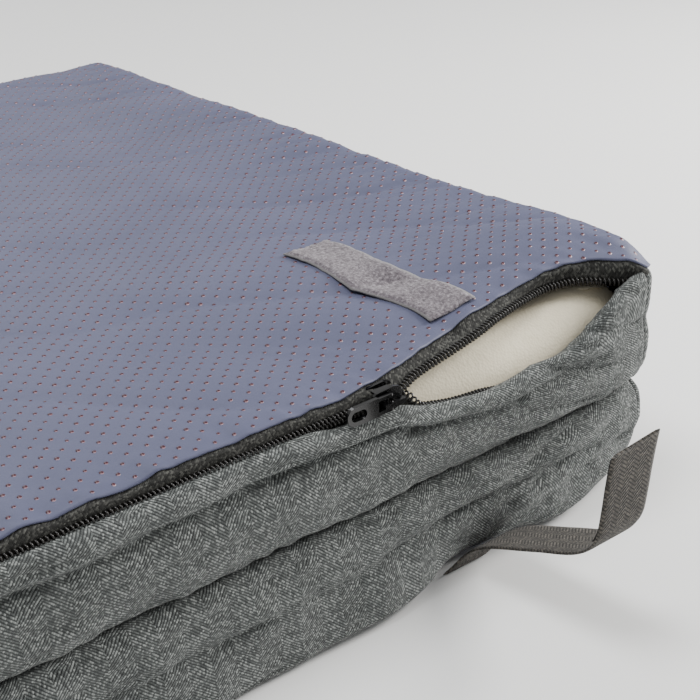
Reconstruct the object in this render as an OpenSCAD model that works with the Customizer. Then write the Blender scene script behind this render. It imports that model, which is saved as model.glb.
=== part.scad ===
// Folding kneeling pad: two zipped, foam-filled pads joined along their back edge,
// stored folded with the non-slip sides outward and held shut by two webbing straps.
// Millimetres. +Z is up, X runs along the zips, the hinge is at +Y and the zips at -Y.
// The origin is on the ground under the centre of the pads.

/* [Pads] */

// width of each pad, along the zip
pad_w = 500; // [300:5:700]
// depth of each pad, from the zip to the hinge
pad_d = 490; // [300:5:600]
// thickness of each pad with its cover
pad_t = 52; // [30:1:80]
// radius of the upright corners
corner_r = 15; // [8:1:40]
// gap between the folded pads
fold_gap = 0.6; // [0.3:0.1:3]
// thickness of the cover fabric
cover_t = 1.2; // [0.8:0.1:2]
// clear depth between the front band and the foam, which the zip sliders run in
foam_front_gap = 3.6; // [3.2:0.1:8]

/* [Zip] */

// distance of the zip's centre line from the non-slip face
zip_drop = 6.5; // [6.5:0.5:20]
// width of the closed chain of coils
chain_w = 5.8; // [4:0.1:8]
// thickness of the coils
coil_t = 2.4; // [1.5:0.1:3]
// thickness of the woven zip tape
tape_t = 0.8; // [0.5:0.1:1.2]
// length of the slider body
slider_len = 13.4; // [10:0.1:16]
// width of the slider body
slider_w = 9.6; // [8:0.1:12]
// thickness of each slider plate
plate_t = 1.2; // [0.8:0.1:2]
// pull tab: distance from its pivot to its tip
pull_len = 21; // [15:0.5:40]
// width of the pull tab
pull_w = 7.6; // [5:0.1:8.8]
// upper slider: distance of its centre from the pads' middle
upper_slider_x = 93; // [-200:0.5:200]
// height of the rolled lip of the front band
lip_h = 14; // [6:0.5:20]
// how far the rolled lip stands out of the band
lip_out = 4.5; // [2:0.1:8]

/* [Open mouth of the upper zip] */

// how far the band side droops at its lowest place
mouth_droop = 12; // [0:0.5:20]
// how far the panel side is drawn back at its furthest place
mouth_back = 25; // [0:0.5:30]

/* [Straps and patches] */

// width of the webbing and of the patches
strap_w = 25; // [15:1:50]
// thickness of the webbing
strap_t = 1.4; // [1:0.1:1.4]
// distance of each strap's centre line from the pads' middle
strap_x = 145; // [60:1:220]
// length of the loop patches
patch_len = 92; // [40:1:150]
// distance of the loop patches from the front edge
patch_back = 24; // [10:1:100]
// thickness of the loop patches
patch_t = 1.5; // [1:0.1:3]

/* [Hinge strip] */

// height of the strip that joins the back edges
hinge_h = 26; // [12:1:40]
// thickness of the hinge strip
hinge_t = 1.2; // [0.8:0.1:2]

/* [Hidden] */

$fn = 48;
w2 = pad_w / 2;
d2 = pad_d / 2;
zip_z = pad_t - zip_drop;
lip_top = zip_z - slider_w / 2 - 0.6;
zip_end = w2 - corner_r + 3;
slider_x = upper_slider_x;
parked_x = zip_end - slider_len / 2 - 1;
mouth_x0 = slider_x + slider_len / 2 + 0.4;
mouth_x1 = zip_end - 1;
steps = 16;
tape_in = 1.4;
plate_front = -d2 - coil_t - 0.5;
plate_back = -d2 + tape_t + 0.8;
pivot_y = plate_front - plate_t - 1.5;
folded_h = 2 * pad_t + fold_gap;

// ---- shapes of the mouth, u runs 0 to 1 along it --------------------------

function mouth_u(x) = (x - mouth_x0) / (mouth_x1 - mouth_x0);
function droop(u) = mouth_droop * sin(180 * pow(u, 0.85));
function drawn(u) = mouth_back * sin(180 * pow(u, 2));
function mouth_x(i) = mouth_x0 + (mouth_x1 - mouth_x0) * i / steps;

// centre line of the free coil on the panel side
function panel_coil(i) = [
  mouth_x(i),
  -d2 - coil_t / 2 + drawn(i / steps),
  zip_z + 2.4 + 1.2 * sin(180 * i / steps)
];

// centre line of the free coil on the band side
function band_coil(i) = [
  mouth_x(i),
  -d2 - coil_t / 2,
  zip_z - 2.4 - droop(i / steps)
];

// ---- placing the two covers ----------------------------------------------

module on_upper() {
  translate([0, 0, pad_t + fold_gap]) children();
}

module on_lower() {
  translate([0, 0, pad_t]) rotate([0, 180, 0]) children();
}

// ---- the cover and its foam, with the non-slip face up ----------------------

module outline(inset) {
  r = corner_r - inset;
  square([pad_w - 2 * inset, pad_d - 2 * corner_r], center = true);
  square([pad_w - 2 * corner_r, pad_d - 2 * inset], center = true);
  for (sx = [-1, 1], sy = [-1, 1])
    translate([sx * (w2 - corner_r), sy * (d2 - corner_r)]) circle(r);
}

module foam_core() {
  z0 = cover_t + 0.1;
  difference() {
    translate([0, 0, z0]) linear_extrude(pad_t - 2 * z0)
      intersection() {
        outline(cover_t + 0.3);
        translate([-w2, -d2 + foam_front_gap]) square([pad_w, pad_d]);
      }
    crown_cut();
  }
}

// the foam's front edge is crowned, so that the zip lies back over it
module crown_cut() {
  top = pad_t - cover_t - 0.1;
  back = -d2 + mouth_back + 9;
  translate([-w2, 0, 0]) rotate([90, 0, 90]) linear_extrude(pad_w)
    polygon([
      [-d2, pad_t - 20],
      [-d2 + foam_front_gap, pad_t - 20],
      [-d2 + 8, pad_t - 13.5],
      [-d2 + 16, pad_t - 8.5],
      [-d2 + 25, pad_t - 4.6],
      [back, top],
      [back, pad_t],
      [-d2, pad_t]
    ]);
}

module grip_panel(mouth) {
  translate([0, 0, pad_t - cover_t]) linear_extrude(cover_t)
    difference() {
      outline(0);
      if (mouth) polygon(concat(
        [[mouth_x0, -d2 - 1]],
        [for (i = [0 : steps]) [mouth_x(i), -d2 + 0.2 + 1.15 * drawn(i / steps)]],
        [[mouth_x1, -d2 - 1]]
      ));
    }
}

module knee_panel() {
  linear_extrude(cover_t) outline(0);
}

module ring() {
  difference() {
    outline(0);
    outline(cover_t);
  }
}

module band_blank(side) {
  z0 = cover_t + 0.05;
  r = corner_r;
  translate([0, 0, z0]) linear_extrude(pad_t - 2 * z0)
    intersection() {
      ring();
      if (side == "front") front_wedge();
      if (side == "back") rotate(180) front_wedge();
      if (side == "right") side_wedge();
      if (side == "left") rotate(180) side_wedge();
    }
}

module front_wedge() {
  polygon([
    [-w2 - 1, -d2 - 1],
    [w2 + 1, -d2 - 1],
    [w2 - corner_r, -d2 + corner_r],
    [-w2 + corner_r, -d2 + corner_r]
  ]);
}

module side_wedge() {
  polygon([
    [w2 + 1, -d2 - 1],
    [w2 + 1, d2 + 1],
    [w2 - corner_r, d2 - corner_r],
    [w2 - corner_r, -d2 + corner_r]
  ]);
}

function lip_line(mouth, lift) = concat(
  [[-zip_end, lip_top + lift]],
  mouth ? [for (i = [0 : steps]) [mouth_x(i), lip_top + lift - droop(i / steps)]] : [],
  [[zip_end, lip_top + lift]]
);

// seen from the front: everything of the band above the lip's top line
module zip_window(mouth) {
  translate([0, -d2 + 5, 0]) rotate([90, 0, 0]) linear_extrude(10)
    polygon(concat(lip_line(mouth, 0), [[zip_end, pad_t + 1], [-zip_end, pad_t + 1]]));
}

// the band's top edge is rolled outward over its wadding
module rolled_lip(mouth) {
  low = [for (p = lip_line(mouth, -lip_h)) p];
  translate([0, -d2, 0]) rotate([90, 0, 0]) linear_extrude(lip_out)
    polygon(concat(
      lip_line(mouth, 0),
      [for (i = [len(low) - 1 : -1 : 0]) low[i]]
    ));
}

module front_band(mouth) {
  union() {
    difference() {
      band_blank("front");
      zip_window(mouth);
    }
    rolled_lip(mouth);
  }
}

// ---- the zip ---------------------------------------------------------------

// flat strip on the front plane between two heights
module front_strip(x0, x1, z0, z1, y0, t) {
  translate([x0, y0, z0]) cube([x1 - x0, t, z1 - z0]);
}

module tape_panel(x1) {
  front_strip(-zip_end + 0.2, x1, zip_z + tape_in, pad_t - cover_t - 0.1, -d2, tape_t);
}

module tape_band(mouth) {
  translate([0, -d2 + tape_t, 0]) rotate([90, 0, 0]) linear_extrude(tape_t)
    polygon(concat(
      [for (p = lip_line(mouth, zip_z - tape_in - lip_top)) [min(max(p[0], 0.2 - zip_end), zip_end - 0.2), p[1]]],
      [for (i = [steps + 2 : -1 : 0])
        let (q = lip_line(mouth, 0.1), n = len(q))
        if (i < n) [min(max(q[i][0], 0.2 - zip_end), zip_end - 0.2), q[i][1]]]
    ));
}

// the panel-side tape where it lies back over the crowned foam
module tape_mouth() {
  top = [for (i = [0 : steps]) [mouth_x(i), -d2 + 0.4 + 1.12 * drawn(i / steps), pad_t - cover_t - 0.2]];
  low = [for (i = [0 : steps]) panel_coil(i) + [0, coil_t / 2 + 0.4, 0]];
  skin = [0, 0.8, -0.8] * tape_t;
  n = steps + 1;
  pts = concat(top, low, [for (p = low) p + skin], [for (p = top) p + skin]);
  sides = [for (k = [0 : 3], i = [0 : steps - 1])
    let (a = k * n + i, b = ((k + 1) % 4) * n + i)
    each [[a, a + 1, b + 1], [a, b + 1, b]]];
  m = n - 1;
  ends = [[0, n, 2 * n], [0, 2 * n, 3 * n], [m, m + 3 * n, m + 2 * n], [m, m + 2 * n, m + n]];
  polyhedron(points = pts, faces = concat(sides, ends), convexity = 4);
}

module chain(x0, x1) {
  difference() {
    front_strip(x0, x1, zip_z - chain_w / 2, zip_z + chain_w / 2, -d2 - coil_t - 0.1, coil_t);
    front_strip(x0 - 1, x1 + 1, zip_z - 0.3, zip_z + 0.3, -d2 - coil_t - 1.1, 1.4);
  }
}

// one straight length of free coil between two points
module coil_piece(a, b) {
  v = b - a;
  l = norm(v);
  translate(a) rotate([0, acos(v[2] / l), atan2(v[1], v[0])]) translate([0, 0, -0.15])
    cylinder(h = l + 0.3, r = coil_t / 2, $fn = 8);
}

module free_coil_panel() {
  for (i = [0 : steps - 1]) coil_piece(panel_coil(i), panel_coil(i + 1));
}

module free_coil_band() {
  line = [for (i = [0 : steps]) [band_coil(i)[0], band_coil(i)[2]]];
  translate([0, -d2 - 0.1, 0]) rotate([90, 0, 0]) linear_extrude(coil_t)
    polygon(ribbon(line, coil_t / 2, -coil_t / 2));
}

// outline of a slider plate: broad shoulders at the open end, narrower tail
module plate_shape() {
  l2 = slider_len / 2;
  s2 = slider_w / 2;
  polygon([
    [-l2, -s2 + 1.4], [-l2 + 1.2, -s2 + 0.5], [l2 - 4, -s2], [l2 - 1.2, -s2 + 0.8], [l2, -s2 + 2.6],
    [l2, s2 - 2.6], [l2 - 1.2, s2 - 0.8], [l2 - 4, s2], [-l2 + 1.2, s2 - 0.5], [-l2, s2 - 1.4]
  ]);
}

// slider centred on x = 0 of the zip line, its open end toward +X
module slider() {
  gap = plate_back - plate_front;
  translate([0, plate_front, zip_z]) rotate([90, 0, 0]) linear_extrude(plate_t) plate_shape();
  translate([0, plate_back + plate_t, zip_z]) rotate([90, 0, 0]) linear_extrude(plate_t) plate_shape();
  // wedge that parts the coils
  translate([0, plate_back + 0.1, zip_z]) rotate([90, 0, 0]) linear_extrude(gap + 0.2)
    polygon([[slider_len / 2 - 4.6, 0], [slider_len / 2 - 1.6, -1], [slider_len / 2 - 0.2, -0.5],
      [slider_len / 2 - 0.2, 0.5], [slider_len / 2 - 1.6, 1]]);
  // flanges that hold the coils together
  for (s = [-1, 1])
    translate([-slider_len / 2 + 1.3, plate_front - 0.1, zip_z + s * (slider_w / 2 - 1) - 0.45])
      cube([slider_len - 5.6, coil_t + 0.2, 0.9]);
  bridge();
}

// arch that carries the pull tab
module bridge() {
  top = plate_front - plate_t;
  for (s = [-1, 1])
    translate([s * 4.1 - 0.8, top - 3.6, zip_z - 1]) cube([1.6, 3.8, 2]);
  translate([-4.9, top - 4.4, zip_z - 1]) cube([9.8, 1.2, 2]);
}

// pull tab lying back over the closed chain; its cross bar turns under the arch
module puller() {
  translate([0, pivot_y, zip_z]) {
    cylinder(h = pull_w - 0.6, r = 0.8, center = true);
    for (s = [-1, 1])
      translate([-7.4, -0.8, s * (pull_w / 2 - 1) - 0.7]) cube([7.4, 1.6, 1.4]);
    rotate([90, 0, 0]) linear_extrude(1.6, center = true)
      difference() {
        union() {
          translate([-pull_len + pull_w / 2, -pull_w / 2]) square([pull_len - pull_w / 2 - 6.4, pull_w]);
          translate([-pull_len + pull_w / 2, 0]) circle(pull_w / 2);
        }
        translate([-pull_len + pull_w / 2, -2]) square([3.2, 4]);
        translate([-pull_len + pull_w / 2, 0]) circle(2);
        translate([-pull_len + pull_w / 2 + 3.2, 0]) circle(2);
      }
  }
}

// ---- straps and patches ------------------------------------------------------

// side view of the webbing: [forward of the front band, height]
strap_path = [
  [0.5, 0.75], [7.5, 0.8], [9.6, 2.6], [11.2, 7], [13.4, 12.5], [17.5, 18.6], [24, 23.4], [34, 27.6],
  [44.5, 32], [55.5, 36.6], [63.5, 41], [69, 46.5], [72.6, 53.5], [74.4, 63.5],
  [75.9, 74.5], [77.4, 83.5], [78.8, 90.5]
];
// the hook patch runs from this point to the free end
hook_first = 12;

function side_step(p, i) =
  let (a = p[max(i - 1, 0)], b = p[min(i + 1, len(p) - 1)], v = b - a)
  [v[1], -v[0]] / norm(v);

// closed outline that runs along the path from offset a back along offset b
function ribbon(p, a, b) = concat(
  [for (i = [0 : len(p) - 1]) p[i] + a * side_step(p, i)],
  [for (i = [len(p) - 1 : -1 : 0]) p[i] + b * side_step(p, i)]
);

module side_profile(wide) {
  translate([-wide / 2, -d2, 0]) rotate([90, 0, 90]) linear_extrude(wide) mirror([1, 0]) children();
}

module strap() {
  side_profile(strap_w) polygon(ribbon(strap_path, strap_t / 2, -strap_t / 2));
}

module hook_patch() {
  part = [for (i = [hook_first : len(strap_path) - 1]) strap_path[i]];
  side_profile(strap_w - 2) polygon(ribbon(part, -strap_t / 2 - 0.05, -strap_t / 2 - 1.25));
}

module loop_patch() {
  translate([-strap_w / 2, -d2 + patch_back, folded_h + 0.05]) cube([strap_w, patch_len, patch_t]);
}

// ---- the nodes ---------------------------------------------------------------

module lower_foam() { color([0.85, 0.82, 0.75]) on_lower() foam_core(); }
module upper_foam() { color([0.85, 0.82, 0.75]) on_upper() foam_core(); }
module lower_grip_panel() { color([0.52, 0.53, 0.60]) on_lower() grip_panel(false); }
module upper_grip_panel() { color([0.52, 0.53, 0.60]) on_upper() grip_panel(true); }
module lower_knee_panel() { color([0.40, 0.43, 0.42]) on_lower() knee_panel(); }
module upper_knee_panel() { color([0.40, 0.43, 0.42]) on_upper() knee_panel(); }
module lower_front_band() { color([0.42, 0.44, 0.44]) on_lower() front_band(false); }
module upper_front_band() { color([0.42, 0.44, 0.44]) on_upper() front_band(true); }
module lower_right_band() { color([0.45, 0.47, 0.46]) on_lower() band_blank("left"); }
module upper_right_band() { color([0.45, 0.47, 0.46]) on_upper() band_blank("right"); }
module lower_left_band() { color([0.45, 0.47, 0.46]) on_lower() band_blank("right"); }
module upper_left_band() { color([0.45, 0.47, 0.46]) on_upper() band_blank("left"); }
module lower_back_band() { color([0.42, 0.44, 0.44]) on_lower() band_blank("back"); }
module upper_back_band() { color([0.42, 0.44, 0.44]) on_upper() band_blank("back"); }

module lower_zip_tape_panel() { color([0.17, 0.17, 0.18]) on_lower() tape_panel(zip_end - 0.2); }
module upper_zip_tape_panel() { color([0.17, 0.17, 0.18]) on_upper() tape_panel(mouth_x0 - 0.3); }
module upper_zip_tape_mouth() { color([0.17, 0.17, 0.18]) on_upper() tape_mouth(); }
module lower_zip_tape_band() { color([0.17, 0.17, 0.18]) on_lower() tape_band(false); }
module upper_zip_tape_band() { color([0.17, 0.17, 0.18]) on_upper() tape_band(true); }
module lower_zip_chain() {
  color([0.10, 0.10, 0.11]) on_lower() chain(-zip_end + 2, parked_x - slider_len / 2 - 0.4);
}
module upper_zip_chain() {
  color([0.10, 0.10, 0.11]) on_upper() chain(-zip_end + 2, slider_x - slider_len / 2 - 0.4);
}
module upper_coil_panel() { color([0.10, 0.10, 0.11]) on_upper() free_coil_panel(); }
module upper_coil_band() { color([0.10, 0.10, 0.11]) on_upper() free_coil_band(); }
module lower_zip_slider() { color([0.06, 0.06, 0.07]) on_lower() translate([parked_x, 0, 0]) slider(); }
module upper_zip_slider() { color([0.06, 0.06, 0.07]) on_upper() translate([slider_x, 0, 0]) slider(); }
module lower_zip_puller() { color([0.06, 0.06, 0.07]) on_lower() translate([parked_x, 0, 0]) puller(); }
module upper_zip_puller() { color([0.06, 0.06, 0.07]) on_upper() translate([slider_x, 0, 0]) puller(); }

module hinge_strip() {
  color([0.42, 0.44, 0.44])
    translate([-w2 + corner_r, d2 + 0.3, pad_t + fold_gap / 2 - hinge_h / 2])
      cube([pad_w - 2 * corner_r, hinge_t, hinge_h]);
}

module right_strap() { color([0.30, 0.28, 0.26]) translate([strap_x, 0, 0]) strap(); }
module left_strap() { color([0.30, 0.28, 0.26]) translate([-strap_x, 0, 0]) strap(); }
module right_hook() { color([0.22, 0.21, 0.20]) translate([strap_x, 0, 0]) hook_patch(); }
module left_hook() { color([0.22, 0.21, 0.20]) translate([-strap_x, 0, 0]) hook_patch(); }
module right_loop_patch() { color([0.50, 0.49, 0.51]) translate([strap_x, 0, 0]) loop_patch(); }
module left_loop_patch() { color([0.50, 0.49, 0.51]) translate([-strap_x, 0, 0]) loop_patch(); }

lower_foam();
lower_grip_panel();
lower_knee_panel();
lower_front_band();
lower_right_band();
lower_back_band();
lower_left_band();
lower_zip_tape_panel();
lower_zip_tape_band();
lower_zip_chain();
lower_zip_slider();
lower_zip_puller();
upper_foam();
upper_grip_panel();
upper_knee_panel();
upper_front_band();
upper_right_band();
upper_back_band();
upper_left_band();
upper_zip_tape_panel();
upper_zip_tape_mouth();
upper_zip_tape_band();
upper_zip_chain();
upper_coil_panel();
upper_coil_band();
upper_zip_slider();
upper_zip_puller();
hinge_strip();
right_strap();
right_hook();
left_strap();
left_hook();
right_loop_patch();
left_loop_patch();
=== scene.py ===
"""Folding kneeling pad, stored folded: two zipped foam pads, dotted non-slip sides outward.

Lengths inside the script are millimetres and become metres when a mesh is made.
X runs along the zips, the hinge is at +Y, +Z is up.
"""

import math

import bpy
import numpy as np
from mathutils import Matrix, Vector

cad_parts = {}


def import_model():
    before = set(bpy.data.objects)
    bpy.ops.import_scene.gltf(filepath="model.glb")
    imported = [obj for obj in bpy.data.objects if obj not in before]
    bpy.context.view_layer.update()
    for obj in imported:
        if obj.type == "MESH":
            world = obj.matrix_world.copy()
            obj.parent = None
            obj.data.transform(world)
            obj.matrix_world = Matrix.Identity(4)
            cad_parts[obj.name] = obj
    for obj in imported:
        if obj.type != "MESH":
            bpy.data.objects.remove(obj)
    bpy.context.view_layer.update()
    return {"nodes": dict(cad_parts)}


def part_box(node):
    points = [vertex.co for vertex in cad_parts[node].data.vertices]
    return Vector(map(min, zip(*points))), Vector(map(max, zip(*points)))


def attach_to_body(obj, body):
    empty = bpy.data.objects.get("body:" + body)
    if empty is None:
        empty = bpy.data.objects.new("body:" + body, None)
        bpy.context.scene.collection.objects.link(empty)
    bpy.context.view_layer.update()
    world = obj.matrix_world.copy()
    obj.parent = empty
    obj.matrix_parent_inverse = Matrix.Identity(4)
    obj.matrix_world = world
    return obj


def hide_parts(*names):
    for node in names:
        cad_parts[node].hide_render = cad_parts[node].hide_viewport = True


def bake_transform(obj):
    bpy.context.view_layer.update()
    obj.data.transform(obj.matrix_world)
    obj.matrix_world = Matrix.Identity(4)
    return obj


MM = 0.001

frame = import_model()


def cad_mm(node):
    """Lowest and highest corner of a CAD node in millimetres."""
    lo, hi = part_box(node)
    return np.array(lo) / MM, np.array(hi) / MM


# ---------------------------------------------------------------- driving sizes
HALF_W, HALF_D, TOP = cad_mm("upper_grip_panel")[1]
UPPER_Z = cad_mm("upper_knee_panel")[0][2]
PAD_T = TOP - UPPER_Z
CORNER_R = 15.0
PANEL_R = 10.0
CLOTH_T = 0.9
TAPE_T = 0.7
# how far the non-slip cloth stands out past the pad's sides
OVERHANG = 0.8
# angle past the start of each rounded corner at which its upright seam lies
SEAM_TURN = math.radians(20)
slider_lo, slider_hi = cad_mm("upper_zip_slider")
SLIDER_X0 = slider_lo[0]
SLIDER_X1 = slider_hi[0]
chain_lo, chain_hi = cad_mm("upper_zip_chain")
CHAIN_Z = (chain_lo[2] + chain_hi[2]) / 2 - UPPER_Z
patch_lo, patch_hi = cad_mm("right_loop_patch")
STRAP_W = patch_hi[0] - patch_lo[0]
STRAP_X = (patch_lo[0] + patch_hi[0]) / 2
strip_lo, strip_hi = cad_mm("hinge_strip")
# right ends of the zips: the closed line, the open mouth, and the lower zip, which stops short
ZIP_END = HALF_W - 12
MOUTH_END = 243.0
LOWER_END = ZIP_END - 14
# furthest that the back bands stand out, so that they clear each other when the pad opens
BACK_OUT = 1.2


# ---------------------------------------------------------------- numeric helpers
def smooth(t):
    """Smooth step from 0 to 1."""
    t = np.clip(t, 0, 1)
    return t * t * (3 - 2 * t)


def hermite(t, a, b, slope_a, slope_b):
    """Cubic that leaves a at t = 0 and reaches b at t = 1 with the given slopes."""
    return (2 * t**3 - 3 * t**2 + 1) * a + (t**3 - 2 * t**2 + t) * slope_a \
        + (3 * t**2 - 2 * t**3) * b + (t**3 - t**2) * slope_b


def curve(x, points):
    """Smooth interpolation through (x, value) points without overshoot, flat beyond the ends."""
    xs, ys = np.array(points, float).T
    rise = np.diff(ys) / np.diff(xs)
    slopes = np.zeros(len(xs))
    same = rise[:-1] * rise[1:] > 0
    slopes[1:-1][same] = 2 / (1 / rise[:-1][same] + 1 / rise[1:][same])
    x = np.clip(np.asarray(x, float), xs[0], xs[-1])
    i = np.clip(np.searchsorted(xs, x) - 1, 0, len(xs) - 2)
    h = xs[i + 1] - xs[i]
    return hermite((x - xs[i]) / h, ys[i], ys[i + 1], slopes[i] * h, slopes[i + 1] * h)


def ripple(x, y, seed, size, heading=0.0, spread=180.0, count=18):
    """Sum of plane waves about size mm long, near -1 to 1; heading is across the folds, in degrees."""
    rng = np.random.default_rng(seed)
    total = np.zeros(np.broadcast(x, y).shape)
    for _ in range(count):
        angle = math.radians(heading + spread * (rng.random() - 0.5))
        k = 2 * math.pi / size * (0.6 + 0.9 * rng.random())
        total += np.cos(k * (x * math.cos(angle) + y * math.sin(angle)) + 2 * math.pi * rng.random())
    return total / math.sqrt(count / 2)


def folds(x, y, seed, size, heading, spread=40.0):
    """Soft cloth folds: narrow valleys between broad swells."""
    r = ripple(x, y, seed, size, heading, spread)
    return 1 - 2 * np.exp(-np.abs(r) * 1.3)


# ---------------------------------------------------------------- mesh helpers
def linked(name, data):
    """A new object in the scene."""
    obj = bpy.data.objects.new(name, data)
    bpy.context.scene.collection.objects.link(obj)
    return obj


def new_object(name, verts, faces, uvs=None):
    """Mesh object from millimetre vertices; uvs is one (u, v) in millimetres for each vertex."""
    mesh = bpy.data.meshes.new(name)
    verts = np.asarray(verts, float).reshape(-1, 3) * MM
    mesh.from_pydata(verts.tolist(), [], [list(f) for f in faces])
    mesh.validate()
    mesh.polygons.foreach_set("use_smooth", [True] * len(mesh.polygons))
    if uvs is not None:
        layer = mesh.uv_layers.new(name="cloth")
        index = np.empty(len(mesh.loops), dtype=np.int64)
        mesh.loops.foreach_get("vertex_index", index)
        layer.data.foreach_set("uv", (np.asarray(uvs, float).reshape(-1, 2) * MM)[index].ravel())
    return linked(name, mesh)


def grid_faces(rows, cols, flip=False, closed=False):
    """Quads of a rows by cols grid; closed joins the last column to the first."""
    i, j = np.meshgrid(np.arange(rows - 1), np.arange(cols if closed else cols - 1), indexing="ij")
    a = i * cols + j
    b = i * cols + (j + 1) % cols
    quads = np.stack([a, b, b + cols, a + cols], -1).reshape(-1, 4)
    return quads[:, ::-1] if flip else quads


def tube_faces(rows, cols):
    """Quads of a tube of rows rings, and its two ends."""
    ends = [list(range(cols)), list(range((rows - 1) * cols, rows * cols))[::-1]]
    return grid_faces(rows, cols, closed=True).tolist() + ends


def arc_uv(points):
    """(u, v) of a grid of points: distances along its rows and columns."""
    du = np.linalg.norm(np.diff(points, axis=1), axis=-1).mean(0)
    dv = np.linalg.norm(np.diff(points, axis=0), axis=-1).mean(1)
    u = np.concatenate([[0], np.cumsum(du)])
    v = np.concatenate([[0], np.cumsum(dv)])
    return np.stack(np.meshgrid(u, v), -1)


def grid_object(name, points, flip=False, uv=None):
    rows, cols = points.shape[:2]
    uv = arc_uv(points) if uv is None else uv
    return new_object(name, points, grid_faces(rows, cols, flip), uv)


def thicken(obj, depth, offset=-1.0):
    """Gives a cloth surface its thickness, in millimetres."""
    m = obj.modifiers.new("thickness", "SOLIDIFY")
    m.thickness = depth * MM
    m.offset = offset
    return obj


# ---------------------------------------------------------------- the pad's lines
# In a pad's own frame z runs from 0 at the kneeling side to PAD_T at the non-slip side.
class Pad:
    """What differs between the two pads: the zip mouth, the lip's line and how the cloth hangs."""

    def __init__(self, name, seed, mouth):
        self.name = name
        self.seed = seed
        self.mouth = mouth
        self.up = 1 if name == "upper" else -1

    def place(self, points):
        """From the pad's own frame to the row frame."""
        points = np.array(points, float)
        z = points[..., 2]
        points[..., 2] = UPPER_Z + z if self.up > 0 else PAD_T - z
        return points

    def drawn_panel(self, x):
        """How far the non-slip cloth's front edge is drawn back, over the mouth or by the strap."""
        if not self.mouth:
            return self.set_back(x) + 6 * smooth((x - 170) / 30)
        return curve(x, [(70, 0), (98, 3.6), (112, 6.6), (127, 10.6), (141, 13.6), (154, 15.6), (170, 17.8),
                         (184, 18.8), (197, 18.2), (209, 16.2), (220, 12.8), (228, 8.2), (234, 3.4),
                         (239, 0.6), (244, 0)])

    def set_back(self, x):
        """How far the lower pad's bottom front edge sits back from its CAD line."""
        right = curve(x, [(84, 0), (100, 0.8), (112, 2.4), (128, 8.5), (140, 9), (163, 7), (186, 5), (202, 5),
                          (222, 6.5), (236, 6), (250, 5)])
        left = curve(-x, [(98, 0), (126, 6.5), (142, 7.5), (160, 6.5), (186, 0)])
        return right + left

    def edge_lift(self, x):
        """Share of the crown that the cloth's front edge keeps, high over the open mouth."""
        return curve(x, [(96, 0.12), (124, 0.35), (139, 0.52), (152, 0.68), (169, 0.85), (184, 0.95),
                         (210, 1.0), (224, 0.9), (233, 0.66), (239, 0.36), (244, 0.12)])

    def drawn_coil(self, x):
        """How far the coil on the panel side is drawn back."""
        if not self.mouth:
            return 0.8 * self.set_back(x) + 3.5 * smooth((x - 60) / 30)
        return curve(x, [(SLIDER_X1 - 3, 0), (120, 3.7), (132, 5), (147, 7), (164, 11.6), (181, 15.7),
                         (197, 18), (208, 16.3), (217, 12.4), (226, 7.6), (236, 2.7), (243, 1)])

    def lip_top(self, x):
        """Height of the front band's rolled lip."""
        end = PAD_T - 4.5
        line = PAD_T - 6.9
        if self.mouth:
            return curve(x, [(-250, end), (-247, end - 1.5), (-241, line - 4.5), (-214, line - 4.5),
                             (-200, line), (-60, line - 0.3), (10, line + 0.2), (56, line - 0.4),
                             (70, line - 3.2), (98, line - 4.9), (112, line - 9.3), (128, line - 12.8),
                             (150, line - 14.8), (182, line - 13.9), (200, line - 7.8), (214, line - 0.7),
                             (230, PAD_T - 2.2), (238, PAD_T - 0.4), (244, PAD_T + 0.5), (250, PAD_T)])
        low = PAD_T - 1.2
        return curve(x, [(-250, end), (-243, PAD_T - 9), (-212, PAD_T - 9), (-204, low - 3), (-188, low),
                         (-162, low - 2.6), (-128, low - 3.4), (-108, low), (86, low), (106, low - 1.6),
                         (118, low - 4.2), (128, low - 4.6), (150, low - 3), (175, low - 1.6),
                         (190, low - 1.4), (206, low - 2.4), (232, low - 4.5), (250, low - 5)])

    def lip_crease(self, x):
        """Height of the crease below the lip."""
        if self.mouth:
            return curve(x, [(-250, 30.5), (-40, 30.6), (79, 33), (93, 32.6), (106, 28), (126, 23.8),
                             (160, 21), (200, 24), (240, 30)])
        return curve(x, [(-250, 24), (70, 24), (100, 20), (150, 16.5), (190, 17.5), (215, 22), (250, 27)])

    def crease_depth(self, x):
        """How deep that crease is."""
        if self.mouth:
            return curve(x, [(-250, 3.2), (90, 3.4), (120, 2.6), (160, 1.4), (200, 0.8), (240, 0.4)])
        return curve(x, [(-250, 1.6), (60, 1.8), (110, 2.6), (180, 3), (220, 1.6), (245, 0.5)])


UPPER = Pad("upper", 11, True)
LOWER = Pad("lower", 47, False)


# distances along the outline to the start of each rounded corner
QUARTER = math.pi / 2 * CORNER_R
S_FRONT_RIGHT = HALF_W - CORNER_R
S_BACK_RIGHT = S_FRONT_RIGHT + QUARTER + 2 * (HALF_D - CORNER_R)
S_BACK_LEFT = S_BACK_RIGHT + QUARTER + 2 * (HALF_W - CORNER_R)
S_FRONT_LEFT = S_BACK_LEFT + QUARTER + 2 * (HALF_D - CORNER_R)
PERIMETER = S_FRONT_LEFT + QUARTER + (HALF_W - CORNER_R)


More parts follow.
